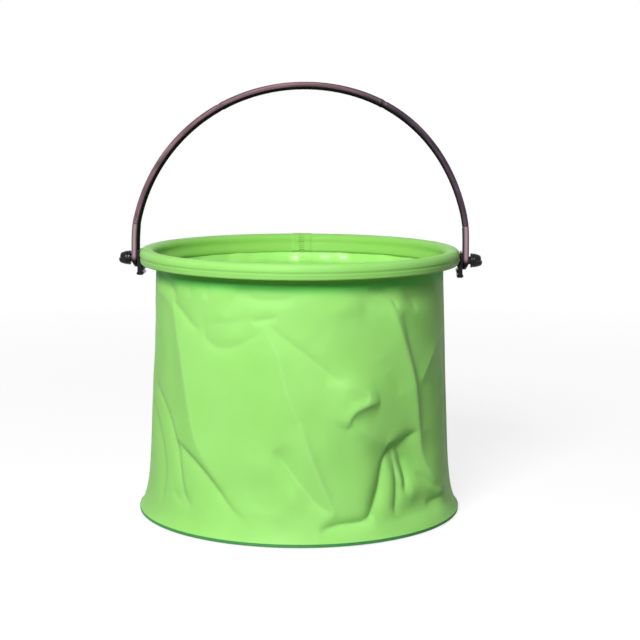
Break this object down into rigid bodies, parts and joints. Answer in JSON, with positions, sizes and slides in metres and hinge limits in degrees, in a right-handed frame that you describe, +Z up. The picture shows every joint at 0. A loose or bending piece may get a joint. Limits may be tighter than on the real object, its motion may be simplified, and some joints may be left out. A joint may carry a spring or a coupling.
{
  "type": "collapsible camp bucket",
  "caption": "Round folding bucket with a soft sheet wall, a hooped rim, a stiff base and a swinging strip bail on two split-stud lugs.",
  "frame": {"origin": "centre of the bucket's underside, on the surface that it stands on", "axes": "+Z up; X runs along the bail's pivot axis through the two lugs, the right lug at +X; -Y is the front as seen in the picture"},
  "size_m": [0.228, 0.203, 0.2676],
  "materials": {
    "base_sheet": "satin coated sheet, light green",
    "wall_sheet": "satin coated sheet, light green, creased from folding",
    "rim_sheet": "satin coated sheet, light green, stretched smooth",
    "board_plastic": "plain white plastic board, hidden inside the base",
    "hoop_plastic": "plain white plastic tube, hidden inside the rim",
    "lug_plastic": "black moulded plastic, satin",
    "bail_plastic": "dark brown moulded plastic, satin"
  },
  "bodies": {
    "base": {"bottom_skin": "base_sheet", "base_board": "board_plastic", "floor_sheet": "base_sheet", "wall_sheet": "wall_sheet"},
    "rim": {"rim_sleeve": "rim_sheet", "rim_hoop": "hoop_plastic", "hoop_joiner": "hoop_plastic", "lug_right": "lug_plastic", "lug_left": "lug_plastic"},
    "bail": {"bail": "bail_plastic"}
  },
  "joints": [
    {"name": "collapse", "type": "slide", "parent": "base", "child": "rim", "axis": [0, 0, 1], "range_m": [-0.135, 0], "deforming": ["wall_sheet"]},
    {"name": "bail_swing", "type": "hinge", "parent": "rim", "child": "bail", "pos_m": [0, 0, 0.1581], "axis": [1, 0, 0], "range_deg": [-84, 96]}
  ]
}
